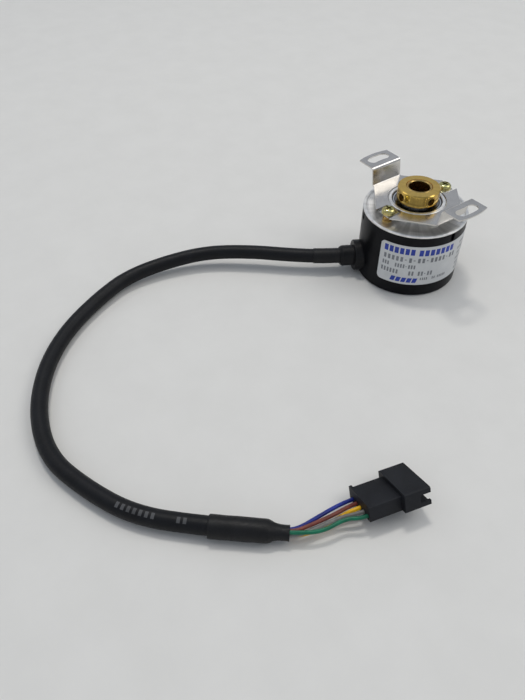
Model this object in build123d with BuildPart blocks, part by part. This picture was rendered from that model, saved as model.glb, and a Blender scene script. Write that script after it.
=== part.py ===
from build123d import *
import os
from math import cos, radians, sin, tan

# Incremental rotary encoder with a through hollow shaft, held by a flexible steel bracket.
# Frame: +Z along the shaft towards the mounting side, origin at the centre of the underside,
# +X towards one mounting tab. The cable leaves on the -Y side. Millimetres throughout.

os.makedirs("parts", exist_ok=True)

# ---------------------------------------------------------------- driving dimensions
body_radius = 20.0
flange_face = 28.0          # height of the flange's outer lip
cover_top = 27.1            # height of the black cover's rim
cover_wall = 1.2
cover_floor = 1.4
shaft_bore_radius = 4.0
shaft_radius = 5.0
shaft_bottom = 0.8
shaft_top = 37.0            # flush with the top of the clamp collar

bearing_outer_radius = 9.5  # 10 x 19 x 5 deep groove ball bearings
bearing_width = 5.0
ball_radius = 1.2
ball_pitch_radius = 7.25
ball_count = 9
front_bearing_base = 25.9
rear_bearing_base = 17.9

collar_radius = 8.0
collar_bottom = 32.0
set_screw_radius = 1.5
set_screw_height = 34.3
set_screw_angles = (-8.0, -98.0)

sheet = 0.5                 # stainless sheet of the bracket
plate_top = 31.5
tab_top = 38.4
arm_width = 14.4
wall_foot = 17.35           # where the arm leaves the plate
wall_head = 18.5            # where the tab begins
tab_outer_radius = 26.9
slot_radius = 23.2
slot_width = 3.9
slot_half_angle = 7.6
screw_circle_radius = 14.8  # the two bracket screws
bracket_hole_radius = 11.15

board_bottom = 8.0
board_thickness = 1.6
board_radius = 17.0
disc_bottom = 13.4
disc_thickness = 0.8
disc_radius = 13.2
track_radius = 11.9         # middle of the coded ring
post_circle_radius = 15.2
post_start_angle = 60.0     # clear of the bracket screws and of the cable outlet

gland_angle = 240.0
gland_height = 6.7
cable_radius = 2.8
cable_start_radius = 17.0
wire_radius = 0.6
wire_pitch = 2.25           # five-way free-hanging connector
bundle_half_width = 1.4     # reach of the five cores' centre lines inside their sleeve

cavity_radius = body_radius - cover_wall
board_top = board_bottom + board_thickness
disc_top = disc_bottom + disc_thickness
boss_radius = 10.8
boss_top = 31.5
recess_floor = 27.8
spigot_bottom = 22.2


def polar(radius, angle, height=0.0):
    """Point at a radius and an azimuth in degrees."""
    return Vector(radius * cos(radians(angle)), radius * sin(radians(angle)), height)


def radial_plane(angle, height):
    """Plane whose normal points outwards from the shaft axis and whose Y axis points up."""
    outwards = polar(1.0, angle)
    return Plane(origin=(0, 0, height), x_dir=(-outwards.Y, outwards.X, 0), z_dir=outwards)


def corner_radii(points):
    """Arc radius for each corner: 0.45 of its shorter run over the tangent of half the turn."""
    radii = []
    for before, corner, after in zip(points, points[1:], points[2:]):
        run_in = Vector(*corner) - Vector(*before)
        run_out = Vector(*after) - Vector(*corner)
        half_turn = radians(run_in.get_angle(run_out)) / 2
        radii.append(0.45 * min(run_in.length, run_out.length) / tan(half_turn))
    return radii


def report_cord(name, part, path, section):
    """Print a cord's length, its smallest arc and how well its volume matches."""
    length = sum(edge.length for edge in path.edges())
    ratio = part.volume / (section * length)
    print(f"{name}: length {length:.1f} mm, volume over section times length {ratio:.4f}")


# ================================================================ housing

# ---- black cover: a deep cup with three slots in its rim and a side hole for the gland
rim_slot_width = 1.8
rim_slot_depth = 3.4
gland_hole_radius = 3.5
cover_rear_hole_radius = 5.3

with BuildPart() as rear_cover:
    with BuildSketch() as cover_outline:
        Circle(body_radius)
    extrude(amount=cover_top)
    fillet(rear_cover.edges().group_by(Axis.Z)[0], radius=0.8)
    with BuildSketch(Plane.XY.offset(cover_floor)) as cover_inside:
        Circle(cavity_radius)
    extrude(amount=cover_top, mode=Mode.SUBTRACT)
    with BuildSketch() as cover_rear_hole:
        Circle(cover_rear_hole_radius)
    extrude(amount=cover_floor, mode=Mode.SUBTRACT)
    with BuildSketch(Plane.XY.offset(cover_top - rim_slot_depth)) as rim_slots:
        with PolarLocations(body_radius - cover_wall / 2, 3):
            Rectangle(2 * cover_wall, rim_slot_width)
    extrude(amount=rim_slot_depth, mode=Mode.SUBTRACT)
    with BuildSketch(radial_plane(gland_angle, gland_height).offset(15)) as gland_hole:
        Circle(gland_hole_radius)
    extrude(amount=10, mode=Mode.SUBTRACT)
rear_cover.part.label = "rear_cover"
export_step(rear_cover.part, "parts/rear_cover.step")

# ---- aluminium flange with the bearing boss, turned in one piece
spigot_radius = cavity_radius - 0.02
gasket_seat_radius = 17.9
gasket_bottom = 23.2
gasket_top = 26.6
lip_width = 1.1
inner_boss_bottom = 17.6
inner_boss_radius = 11.0
race_shoulder_radius = 8.7
front_seat_bottom = front_bearing_base
rear_seat_top = rear_bearing_base + bearing_width
screw_shank_radius = 1.25
screw_hole_bottom = 23.0
post_stud_radius = 1.0
post_stud_length = 2.6

with BuildPart() as front_flange:
    with BuildSketch(Plane.XZ) as flange_section:
        with BuildLine():
            Polyline(
                (body_radius, cover_top),
                (body_radius, flange_face),
                (body_radius - lip_width, flange_face),
                (body_radius - lip_width - 0.3, recess_floor),
                (boss_radius, recess_floor),
                (boss_radius, boss_top),
                (bearing_outer_radius, boss_top),
                (bearing_outer_radius, front_seat_bottom),
                (race_shoulder_radius, front_seat_bottom),
                (race_shoulder_radius, rear_seat_top),
                (bearing_outer_radius, rear_seat_top),
                (bearing_outer_radius, inner_boss_bottom),
                (inner_boss_radius, inner_boss_bottom),
                (inner_boss_radius, spigot_bottom),
                (spigot_radius, spigot_bottom),
                (spigot_radius, gasket_bottom),
                (gasket_seat_radius, gasket_bottom),
                (gasket_seat_radius, gasket_top),
                (spigot_radius, gasket_top),
                (spigot_radius, cover_top),
                close=True,
            )
        make_face()
    revolve(axis=Axis.Z)
    outer_rim = front_flange.edges().filter_by(GeomType.CIRCLE)
    outer_rim = outer_rim.filter_by(lambda e: abs(e.radius - body_radius) < 0.01)
    chamfer(outer_rim.sort_by(Axis.Z)[-1], length=0.25)
    boss_rims = front_flange.edges().group_by(Axis.Z)[-1]
    chamfer(boss_rims, length=0.2)
    with BuildSketch(Plane.XY.offset(screw_hole_bottom)) as bracket_screw_holes:
        with Locations((0, screw_circle_radius), (0, -screw_circle_radius)):
            Circle(screw_shank_radius)
    extrude(amount=recess_floor - screw_hole_bottom, mode=Mode.SUBTRACT)
    with BuildSketch(Plane.XY.offset(spigot_bottom)) as post_holes:
        with PolarLocations(post_circle_radius, 3, start_angle=post_start_angle):
            Circle(post_stud_radius)
    extrude(amount=post_stud_length, mode=Mode.SUBTRACT)
front_flange.part.label = "front_flange"
export_step(front_flange.part, "parts/front_flange.step")

# ---- rubber band between flange and cover
with BuildPart() as cover_gasket:
    with BuildSketch(Plane.XY.offset(gasket_bottom + 0.1)) as gasket_ring:
        Circle(cavity_radius - 0.03)
        Circle(gasket_seat_radius, mode=Mode.SUBTRACT)
    extrude(amount=gasket_top - gasket_bottom - 0.2)
cover_gasket.part.label = "cover_gasket"
export_step(cover_gasket.part, "parts/cover_gasket.step")

# ---- type label, a thin curved sticker with rounded corners
label_start_angle = -80.0
label_sweep = 120.0
label_bottom = 5.6
label_top = 23.3
label_thickness = 0.12
label_corner = 1.8

with BuildPart() as type_label:
    with BuildSketch(Plane.XY.offset(label_bottom)) as label_arc:
        with BuildLine():
            inner = CenterArc((0, 0), body_radius, label_start_angle, label_sweep)
            outer = CenterArc((0, 0), body_radius + label_thickness, label_start_angle, label_sweep)
            Line(inner @ 0, outer @ 0)
            Line(inner @ 1, outer @ 1)
        make_face()
    extrude(amount=label_top - label_bottom)
    end_edges = type_label.edges().filter_by(GeomType.LINE).filter_by(Axis.Z, reverse=True)
    fillet(end_edges, radius=label_corner)
type_label.part.label = "type_label"
export_step(type_label.part, "parts/type_label.step")

# ================================================================ mounting bracket

# ---- flexible bracket: a six-sided plate around the boss and two raised, slotted tabs
notch_half_width = 3.6
notch_depth_y = 12.2        # inner end of the notches
plate_point_y = 17.8        # where the slanted edges meet the notches
tongue_half_width = 2.4
tongue_root_y = 11.4        # the tongues are pressed down by one sheet thickness from here
tongue_end_y = 17.0
bracket_screw_clearance = 1.35
bend_radius = 0.9
arm_half_width = arm_width / 2
tongue_top = plate_top - sheet
tongue_middle_y = (tongue_root_y + tongue_end_y) / 2

with BuildPart() as mounting_bracket:
    with BuildSketch(Plane.XY.offset(plate_top - sheet)) as bracket_plate:
        with BuildLine():
            Polyline(
                (wall_foot - 1, -arm_half_width),
                (wall_foot - 1, arm_half_width),
                (notch_half_width, plate_point_y),
                (-notch_half_width, plate_point_y),
                (1 - wall_foot, arm_half_width),
                (1 - wall_foot, -arm_half_width),
                (-notch_half_width, -plate_point_y),
                (notch_half_width, -plate_point_y),
                close=True,
            )
        make_face()
        fillet(bracket_plate.vertices().filter_by(lambda v: abs(v.Y) > 10), radius=0.5)
        notch_length = plate_point_y - notch_depth_y
        with Locations((0, notch_depth_y + notch_length / 2), (0, -notch_depth_y - notch_length / 2)):
            Rectangle(2 * notch_half_width, notch_length + 0.01, mode=Mode.SUBTRACT)
        Circle(bracket_hole_radius, mode=Mode.SUBTRACT)
    extrude(amount=sheet)
    with BuildSketch(Plane.XY.offset(tongue_top - sheet)) as bracket_tongues:
        with Locations((0, tongue_middle_y), (0, -tongue_middle_y)):
            Rectangle(2 * tongue_half_width, tongue_end_y - tongue_root_y)
        with Locations((0, screw_circle_radius), (0, -screw_circle_radius)):
            Circle(bracket_screw_clearance, mode=Mode.SUBTRACT)
    extrude(amount=sheet)
    with BuildSketch(Plane.XZ) as arm_profile:
        with BuildLine():
            FilletPolyline(
                (wall_foot - 2, plate_top - sheet),
                (wall_foot, plate_top - sheet),
                (wall_head, tab_top - sheet),
                (tab_outer_radius + 1, tab_top - sheet),
                radius=bend_radius,
            )
            offset(amount=sheet, side=Side.LEFT)
        make_face()
        mirror(about=Plane.YZ)
    extrude(amount=arm_half_width, both=True)
    with BuildSketch(Plane.XY.offset(plate_top - 2)) as tab_outline:
        Rectangle(3 * tab_outer_radius, 3 * tab_outer_radius)
        Circle(tab_outer_radius, mode=Mode.SUBTRACT)
    extrude(amount=tab_top - plate_top + 4, mode=Mode.SUBTRACT)
    with BuildSketch(Plane.XY.offset(tab_top - 1)) as tab_slots:
        for tab_angle in (0, 180):
            slot_line = Edge.make_circle(
                slot_radius,
                start_angle=tab_angle - slot_half_angle,
                end_angle=tab_angle + slot_half_angle,
            )
            SlotArc(slot_line, slot_width)
    extrude(amount=2, mode=Mode.SUBTRACT)
mounting_bracket.part.label = "mounting_bracket"
export_step(mounting_bracket.part, "parts/mounting_bracket.step")

# ---- brass spacers that lift the bracket off the flange
spacer_radius = 1.9
spacer_waist_radius = 1.65
spacer_waists = (28.4, 29.1, 29.8)  # heights of three shallow grooves
spacer_waist_height = 0.3

with BuildPart() as bracket_spacers:
    with BuildSketch(Plane.XY.offset(recess_floor)) as spacer_rings:
        with Locations((0, screw_circle_radius), (0, -screw_circle_radius)):
            Circle(spacer_radius)
            Circle(bracket_screw_clearance, mode=Mode.SUBTRACT)
    extrude(amount=tongue_top - sheet - recess_floor)
    for waist_height in spacer_waists:
        with BuildSketch(Plane.XY.offset(waist_height)) as spacer_grooves:
            with Locations((0, screw_circle_radius), (0, -screw_circle_radius)):
                Circle(spacer_radius)
                Circle(spacer_waist_radius, mode=Mode.SUBTRACT)
        extrude(amount=spacer_waist_height, mode=Mode.SUBTRACT)
bracket_spacers.part.label = "bracket_spacers"
export_step(bracket_spacers.part, "parts/bracket_spacers.step")

# ---- zinc plated M2.5 pan head screws with a cross recess
screw_head_radius = 2.6
screw_head_height = 2.0
cross_width = 0.7
cross_length = 3.0
cross_depth = 1.1

with BuildPart() as bracket_screws:
    with BuildSketch(Plane.XY.offset(tongue_top)) as screw_heads:
        with Locations((0, screw_circle_radius), (0, -screw_circle_radius)):
            Circle(screw_head_radius)
    extrude(amount=screw_head_height)
    fillet(bracket_screws.edges().group_by(Axis.Z)[-1], radius=1.3)
    with BuildSketch(Plane.XY.offset(screw_hole_bottom + 0.5)) as screw_shanks:
        with Locations((0, screw_circle_radius), (0, -screw_circle_radius)):
            Circle(screw_shank_radius)
    extrude(amount=tongue_top - screw_hole_bottom - 0.5)
    with BuildSketch(Plane.XY.offset(tongue_top + screw_head_height - cross_depth)) as screw_crosses:
        with Locations((0, screw_circle_radius), (0, -screw_circle_radius)):
            Rectangle(cross_width, cross_length)
            Rectangle(cross_length, cross_width)
    extrude(amount=cross_depth, mode=Mode.SUBTRACT)
bracket_screws.part.label = "bracket_screws"
export_step(bracket_screws.part, "parts/bracket_screws.step")

# ================================================================ shaft and clamp

# ---- brass hollow shaft with a shoulder for the rear bearing and a groove for its ring
shaft_shoulder_radius = 6.2
shaft_shoulder_bottom = 16.2
ring_groove_radius = 4.7
ring_bottom = front_bearing_base + bearing_width
ring_thickness = 0.6

with BuildPart() as hollow_shaft:
    with BuildSketch(Plane.XZ) as shaft_section:
        with BuildLine():
            Polyline(
                (shaft_bore_radius, shaft_bottom),
                (shaft_radius, shaft_bottom),
                (shaft_radius, shaft_shoulder_bottom),
                (shaft_shoulder_radius, shaft_shoulder_bottom),
                (shaft_shoulder_radius, rear_bearing_base),
                (shaft_radius, rear_bearing_base),
                (shaft_radius, ring_bottom),
                (ring_groove_radius, ring_bottom),
                (ring_groove_radius, ring_bottom + ring_thickness),
                (shaft_radius, ring_bottom + ring_thickness),
                (shaft_radius, shaft_top - 0.3),
                (shaft_radius - 0.3, shaft_top),
                (shaft_bore_radius + 0.3, shaft_top),
                (shaft_bore_radius, shaft_top - 0.3),
                close=True,
            )
        make_face()
    revolve(axis=Axis.Z)
hollow_shaft.part.label = "hollow_shaft"
export_step(hollow_shaft.part, "parts/hollow_shaft.step")

# ---- clamp collar with two threaded holes a quarter turn apart
with BuildPart() as clamp_collar:
    with BuildSketch(Plane.XY.offset(collar_bottom)) as collar_ring:
        Circle(collar_radius)
        Circle(shaft_radius, mode=Mode.SUBTRACT)
    extrude(amount=shaft_top - collar_bottom)
    collar_rims = clamp_collar.edges().filter_by(GeomType.CIRCLE)
    chamfer(collar_rims.filter_by(lambda e: abs(e.radius - collar_radius) < 0.01), length=0.35)
    for hole_angle in set_screw_angles:
        with BuildSketch(radial_plane(hole_angle, set_screw_height)) as set_screw_hole:
            Circle(set_screw_radius)
        extrude(amount=collar_radius + 1, mode=Mode.SUBTRACT)
clamp_collar.part.label = "clamp_collar"
export_step(clamp_collar.part, "parts/clamp_collar.step")

# ---- socket set screws that bear on the shaft
set_screw_tip = shaft_radius
set_screw_end = collar_radius - 1.1
socket_radius = 0.85
socket_depth = 1.0

with BuildPart() as collar_set_screws:
    for hole_angle in set_screw_angles:
        screw_plane = radial_plane(hole_angle, set_screw_height)
        with BuildSketch(screw_plane.offset(set_screw_tip)) as set_screw_body:
            Circle(set_screw_radius)
        extrude(amount=set_screw_end - set_screw_tip)
        with BuildSketch(screw_plane.offset(set_screw_end)) as socket:
            RegularPolygon(socket_radius, 6)
        extrude(amount=-socket_depth, mode=Mode.SUBTRACT)
collar_set_screws.part.label = "collar_set_screws"
export_step(collar_set_screws.part, "parts/collar_set_screws.step")

# ---- spring steel retaining ring above the front bearing
with BuildPart() as retaining_ring:
    with BuildSketch(Plane.XY.offset(ring_bottom)) as ring_outline:
        Circle(shaft_radius + 1.2)
        Circle(ring_groove_radius, mode=Mode.SUBTRACT)
        with Locations((shaft_radius, 0)):
            Rectangle(4, 2.2, mode=Mode.SUBTRACT)
    extrude(amount=ring_thickness)
retaining_ring.part.label = "retaining_ring"
export_step(retaining_ring.part, "parts/retaining_ring.step")

# ================================================================ bearings

inner_race_radius = 6.25
outer_race_radius = 8.25
groove_radius = 1.25
cage_inner_radius = 6.9
cage_outer_radius = 7.6
cage_margin = 0.8
shield_thickness = 0.4
shield_inset = 0.15
shield_gap = 0.1
shield_outer_offset = bearing_width - shield_inset - shield_thickness

for bearing_name, bearing_base in (("front", front_bearing_base), ("rear", rear_bearing_base)):
    ball_plane = Plane.XY.offset(bearing_base + bearing_width / 2)

    with BuildPart() as outer_race:
        with BuildSketch(Plane.XZ) as outer_race_section:
            with Locations(((outer_race_radius + bearing_outer_radius) / 2, ball_plane.origin.Z)):
                Rectangle(bearing_outer_radius - outer_race_radius, bearing_width)
            with Locations((ball_pitch_radius, ball_plane.origin.Z)):
                Circle(groove_radius, mode=Mode.SUBTRACT)
        revolve(axis=Axis.Z)
    outer_race.part.label = f"{bearing_name}_bearing_outer_race"
    export_step(outer_race.part, f"parts/{bearing_name}_bearing_outer_race.step")

    with BuildPart() as inner_race:
        with BuildSketch(Plane.XZ) as inner_race_section:
            with Locations(((shaft_radius + inner_race_radius) / 2, ball_plane.origin.Z)):
                Rectangle(inner_race_radius - shaft_radius, bearing_width)
            with Locations((ball_pitch_radius, ball_plane.origin.Z)):
                Circle(groove_radius, mode=Mode.SUBTRACT)
        revolve(axis=Axis.Z)
    inner_race.part.label = f"{bearing_name}_bearing_inner_race"
    export_step(inner_race.part, f"parts/{bearing_name}_bearing_inner_race.step")

    with BuildPart(ball_plane) as balls:
        with PolarLocations(ball_pitch_radius, ball_count):
            Sphere(ball_radius)
    balls.part.label = f"{bearing_name}_bearing_balls"
    export_step(balls.part, f"parts/{bearing_name}_bearing_balls.step")

    with BuildPart() as cage:
        with BuildSketch(Plane.XY.offset(bearing_base + cage_margin)) as cage_ring:
            Circle(cage_outer_radius)
            Circle(cage_inner_radius, mode=Mode.SUBTRACT)
        extrude(amount=bearing_width - 2 * cage_margin)
        for ball_index in range(ball_count):
            ball_angle = ball_index * 360 / ball_count
            with BuildSketch(radial_plane(ball_angle, ball_plane.origin.Z)) as cage_pocket:
                Circle(groove_radius)
            extrude(amount=outer_race_radius, mode=Mode.SUBTRACT)
    cage.part.label = f"{bearing_name}_bearing_cage"
    export_step(cage.part, f"parts/{bearing_name}_bearing_cage.step")

    with BuildPart() as shields:
        for shield_base in (bearing_base + shield_inset, bearing_base + shield_outer_offset):
            with BuildSketch(Plane.XY.offset(shield_base)) as shield_ring:
                Circle(outer_race_radius)
                Circle(inner_race_radius + shield_gap, mode=Mode.SUBTRACT)
            extrude(amount=shield_thickness)
    shields.part.label = f"{bearing_name}_bearing_shields"
    export_step(shields.part, f"parts/{bearing_name}_bearing_shields.step")

# ---- tube that holds the two inner races apart
with BuildPart() as bearing_spacer:
    with BuildSketch(Plane.XY.offset(rear_seat_top)) as spacer_tube:
        Circle(shaft_radius + 1.1)
        Circle(shaft_radius, mode=Mode.SUBTRACT)
    extrude(amount=front_bearing_base - rear_seat_top)
bearing_spacer.part.label = "bearing_spacer"
export_step(bearing_spacer.part, "parts/bearing_spacer.step")

# ================================================================ code disc

hub_radius = 9.0
hub_spigot_radius = 7.0
hub_spigot_bottom = 12.2
clamp_ring_radius = 8.8
clamp_ring_thickness = 0.8

# ---- hub pressed on the shaft, under its shoulder
with BuildPart() as disc_hub:
    with BuildSketch(Plane.XY.offset(disc_top)) as hub_flange:
        Circle(hub_radius)
    extrude(amount=shaft_shoulder_bottom - disc_top)
    with BuildSketch(Plane.XY.offset(hub_spigot_bottom)) as hub_spigot:
        Circle(hub_spigot_radius)
    extrude(amount=disc_top - hub_spigot_bottom)
    with BuildSketch(Plane.XY.offset(hub_spigot_bottom)) as hub_bore:
        Circle(shaft_radius)
    extrude(amount=shaft_shoulder_bottom - hub_spigot_bottom, mode=Mode.SUBTRACT)
disc_hub.part.label = "disc_hub"
export_step(disc_hub.part, "parts/disc_hub.step")

# ---- etched code disc with windows around its edge and one index window
window_count = 72
window_length = 2.0

with BuildPart() as code_disc:
    with BuildSketch(Plane.XY.offset(disc_bottom)) as disc_outline:
        Circle(disc_radius)
        Circle(hub_spigot_radius + 0.05, mode=Mode.SUBTRACT)
        with PolarLocations(track_radius, window_count):
            Rectangle(window_length, 0.5, mode=Mode.SUBTRACT)
        with Locations((track_radius - 2.2, 0)):
            Rectangle(1.2, 0.5, mode=Mode.SUBTRACT)
    extrude(amount=disc_thickness)
code_disc.part.label = "code_disc"
export_step(code_disc.part, "parts/code_disc.step")

# ---- ring that clamps the disc against the hub
with BuildPart() as disc_clamp_ring:
    with BuildSketch(Plane.XY.offset(disc_bottom - clamp_ring_thickness)) as clamp_outline:
        Circle(clamp_ring_radius)
        Circle(hub_spigot_radius, mode=Mode.SUBTRACT)
    extrude(amount=clamp_ring_thickness)
disc_clamp_ring.part.label = "disc_clamp_ring"
export_step(disc_clamp_ring.part, "parts/disc_clamp_ring.step")

# ================================================================ electronics

# ---- round circuit board with a centre hole for the shaft
board_hole_radius = 6.5
board_screw_radius = 1.0

with BuildPart() as circuit_board:
    with BuildSketch(Plane.XY.offset(board_bottom)) as board_outline:
        Circle(board_radius)
        Circle(board_hole_radius, mode=Mode.SUBTRACT)
        with PolarLocations(post_circle_radius, 3, start_angle=post_start_angle):
            Circle(board_screw_radius + 0.1, mode=Mode.SUBTRACT)
    extrude(amount=board_thickness)
circuit_board.part.label = "circuit_board"
export_step(circuit_board.part, "parts/circuit_board.step")

# ---- spacer posts between flange and board, with studs that screw into the flange
post_radius = 1.4
board_screw_length = 4.0

with BuildPart() as board_posts:
    with BuildSketch(Plane.XY.offset(board_top)) as post_bodies:
        with PolarLocations(post_circle_radius, 3, start_angle=post_start_angle):
            Circle(post_radius)
    extrude(amount=spigot_bottom - board_top)
    with BuildSketch(Plane.XY.offset(spigot_bottom)) as post_studs:
        with PolarLocations(post_circle_radius, 3, start_angle=post_start_angle):
            Circle(post_stud_radius)
    extrude(amount=post_stud_length - 0.3)
    with BuildSketch(Plane.XY.offset(board_top)) as post_threads:
        with PolarLocations(post_circle_radius, 3, start_angle=post_start_angle):
            Circle(board_screw_radius)
    extrude(amount=board_screw_length + 0.5, mode=Mode.SUBTRACT)
board_posts.part.label = "board_posts"
export_step(board_posts.part, "parts/board_posts.step")

# ---- M2 screws that hold the board against its posts
board_screw_head_radius = 1.7
board_screw_head_height = 1.2

with BuildPart() as board_screws:
    with BuildSketch(Plane.XY.offset(board_bottom - board_screw_head_height)) as board_screw_heads:
        with PolarLocations(post_circle_radius, 3, start_angle=post_start_angle):
            Circle(board_screw_head_radius)
    extrude(amount=board_screw_head_height)
    with BuildSketch(Plane.XY.offset(board_bottom)) as board_screw_shanks:
        with PolarLocations(post_circle_radius, 3, start_angle=post_start_angle):
            Circle(board_screw_radius)
    extrude(amount=board_thickness + board_screw_length)
board_screws.part.label = "board_screws"
export_step(board_screws.part, "parts/board_screws.step")

# ---- moulded C-shaped holder that carries the lamp over the disc
holder_width = 7.0
holder_inner_radius = 9.9
holder_outer_radius = 16.8
holder_post_inner_radius = 14.0
holder_arm_bottom = 14.9
holder_arm_top = 17.2
lamp_radius = 1.5
optics_y = track_radius

with BuildPart() as lamp_holder:
    with BuildSketch(Plane.XY.offset(board_top)) as holder_post:
        with Locations((0, (holder_post_inner_radius + holder_outer_radius) / 2)):
            Rectangle(holder_width, holder_outer_radius - holder_post_inner_radius)
    extrude(amount=holder_arm_top - board_top)
    with BuildSketch(Plane.XY.offset(holder_arm_bottom)) as holder_arm:
        with Locations((0, (holder_inner_radius + holder_outer_radius) / 2)):
            Rectangle(holder_width, holder_outer_radius - holder_inner_radius)
    extrude(amount=holder_arm_top - holder_arm_bottom)
    with BuildSketch(Plane.XY.offset(holder_arm_bottom)) as lamp_hole:
        with Locations((0, optics_y)):
            Circle(lamp_radius)
    extrude(amount=holder_arm_top - holder_arm_bottom, mode=Mode.SUBTRACT)
lamp_holder.part.label = "lamp_holder"
export_step(lamp_holder.part, "parts/lamp_holder.step")

# ---- infrared lamp, flat topped with a domed lens that faces the disc
with BuildPart() as infrared_lamp:
    with BuildSketch(Plane.XY.offset(holder_arm_bottom)) as lamp_body:
        with Locations((0, optics_y)):
            Circle(lamp_radius)
    extrude(amount=holder_arm_top - holder_arm_bottom)
    fillet(infrared_lamp.edges().group_by(Axis.Z)[0], radius=0.9)
infrared_lamp.part.label = "infrared_lamp"
export_step(infrared_lamp.part, "parts/infrared_lamp.step")

# ---- receiver under the disc: detector array with a slotted mask plate on top
detector_height = 2.3
mask_thickness = 0.6
mask_slit_pitch = 1.0

with BuildPart() as detector_array:
    with BuildSketch(Plane.XY.offset(board_top)) as detector_outline:
        with Locations((0, optics_y)):
            Rectangle(5.0, 3.6)
    extrude(amount=detector_height)
detector_array.part.label = "detector_array"
export_step(detector_array.part, "parts/detector_array.step")

with BuildPart() as mask_plate:
    with BuildSketch(Plane.XY.offset(board_top + detector_height)) as mask_outline:
        with Locations((0, optics_y)):
            Rectangle(5.6, 3.8)
            with GridLocations(mask_slit_pitch, 0, 4, 1):
                Rectangle(0.4, 2.0, mode=Mode.SUBTRACT)
    extrude(amount=mask_thickness)
mask_plate.part.label = "mask_plate"
export_step(mask_plate.part, "parts/mask_plate.step")

# ---- comparator chip with gull-wing pins, on the upper side of the board
chip_height = 1.4
chip_centre = -10.2

with BuildPart() as signal_chip:
    with BuildSketch(Plane.XY.offset(board_top + 0.15)) as chip_body:
        with Locations((chip_centre, 0)):
            Rectangle(3.9, 8.6)
    extrude(amount=chip_height)
    with BuildSketch(Plane.XY.offset(board_top)) as chip_pins:
        with Locations((chip_centre, 0)):
            with GridLocations(4.6, 1.27, 2, 7):
                Rectangle(1.0, 0.4)
    extrude(amount=0.35)
signal_chip.part.label = "signal_chip"
export_step(signal_chip.part, "parts/signal_chip.step")

# ---- chip capacitors and resistors, on the upper side of the board
with BuildPart() as board_passives:
    with BuildSketch(Plane.XY.offset(board_top)) as passives_outline:
        with PolarLocations(10.6, 5, start_angle=-50, angular_range=100):
            Rectangle(1.25, 2.0)
    extrude(amount=0.9)
board_passives.part.label = "board_passives"
export_step(board_passives.part, "parts/board_passives.step")

# ---- lead socket under the board, facing the gland
socket_inner_radius = 7.4
socket_outer_radius = 12.0
socket_half_width = 5.0
socket_height = 3.4
socket_plane = Plane(
    origin=(0, 0, board_bottom - socket_height),
    x_dir=polar(1.0, gland_angle),
    z_dir=(0, 0, 1),
)

with BuildPart() as board_socket:
    with BuildSketch(socket_plane) as socket_outline:
        with Locations(((socket_inner_radius + socket_outer_radius) / 2, 0)):
            Rectangle(socket_outer_radius - socket_inner_radius, 2 * socket_half_width)
    extrude(amount=socket_height)
board_socket.part.label = "board_socket"
export_step(board_socket.part, "parts/board_socket.step")

# ---- five short cores from the socket to the end of the cable
lead_radius = 0.5
lead_pitch = 1.08

with BuildPart() as inner_leads:
    with BuildSketch(radial_plane(gland_angle, gland_height).offset(socket_outer_radius)) as lead_sections:
        with GridLocations(lead_pitch, 0, 5, 1):
            Circle(lead_radius)
    extrude(amount=cable_start_radius - socket_outer_radius)
inner_leads.part.label = "inner_leads"
export_step(inner_leads.part, "parts/inner_leads.step")

# ================================================================ cable outlet

gland_flange_radius = 6.2
gland_flange_end = 22.6
gland_nipple_start = 17.2
gland_barb_radius = 3.9
nut_radius = 4.15
nut_end = 28.0

# ---- gland body: outer flange shaped to the round wall, neck and barb inside
gland_plane = radial_plane(gland_angle, gland_height)

with BuildPart() as gland_body:
    with BuildSketch(gland_plane.offset(cavity_radius - 1)) as gland_flange_disc:
        Circle(gland_flange_radius)
    extrude(amount=gland_flange_end - cavity_radius + 1)
    fillet(gland_body.edges().group_by(SortBy.DISTANCE)[-1], radius=0.5)
    with BuildSketch(Plane.XY.offset(-5)) as wall_cut:
        Circle(body_radius)
    extrude(amount=30, mode=Mode.SUBTRACT)
    with BuildSketch(gland_plane.offset(gland_nipple_start)) as gland_neck:
        Circle(gland_hole_radius)
    extrude(amount=gland_flange_end - gland_nipple_start)
    with BuildSketch(gland_plane.offset(gland_nipple_start)) as gland_barb:
        Circle(gland_barb_radius)
    extrude(amount=1.1)
    with BuildSketch(gland_plane.offset(gland_nipple_start - 1)) as gland_bore:
        Circle(cable_radius)
    extrude(amount=10, mode=Mode.SUBTRACT)
gland_body.part.label = "gland_body"
export_step(gland_body.part, "parts/gland_body.step")

# ---- smooth clamping nut with a cone at its mouth
nut_bore_radius = 3.1

with BuildPart() as gland_nut:
    with BuildSketch(gland_plane.offset(gland_flange_end)) as nut_outline:
        Circle(nut_radius)
    extrude(amount=nut_end - gland_flange_end)
    nut_rims = gland_nut.edges().filter_by(GeomType.CIRCLE)
    chamfer(nut_rims.sort_by_distance((0, 0, gland_height))[-1], length=0.9, length2=0.5)
    with BuildSketch(gland_plane.offset(gland_flange_end)) as nut_bore:
        Circle(nut_bore_radius)
    extrude(amount=nut_end, mode=Mode.SUBTRACT)
gland_nut.part.label = "gland_nut"
export_step(gland_nut.part, "parts/gland_nut.step")

# ---- cable from the gland to the end sleeve
first_corner_radius = 32.0
cable_route = [
    tuple(polar(cable_start_radius, gland_angle, gland_height)),
    tuple(polar(first_corner_radius, gland_angle, gland_height)),
    (-24.5, -39.0, 6.9),
    (-37.5, -53.0, 7.0),
    (-48.0, -67.0, 6.3),
    (-53.5, -83.0, 5.0),
    (-55.5, -100.0, 3.8),
    (-50.5, -115.0, 3.1),
    (-41.0, -132.0, 2.9),
    (-27.5, -145.5, 2.85),
    (-10.0, -155.0, 2.85),
    (9.0, -158.5, 2.85),
    (26.0, -153.5, 3.0),
    (42.0, -146.0, 3.3),
    (55.5, -132.5, 3.5),
    (66.9, -119.1, 3.5),
]
cable_radii = corner_radii(cable_route)

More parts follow.
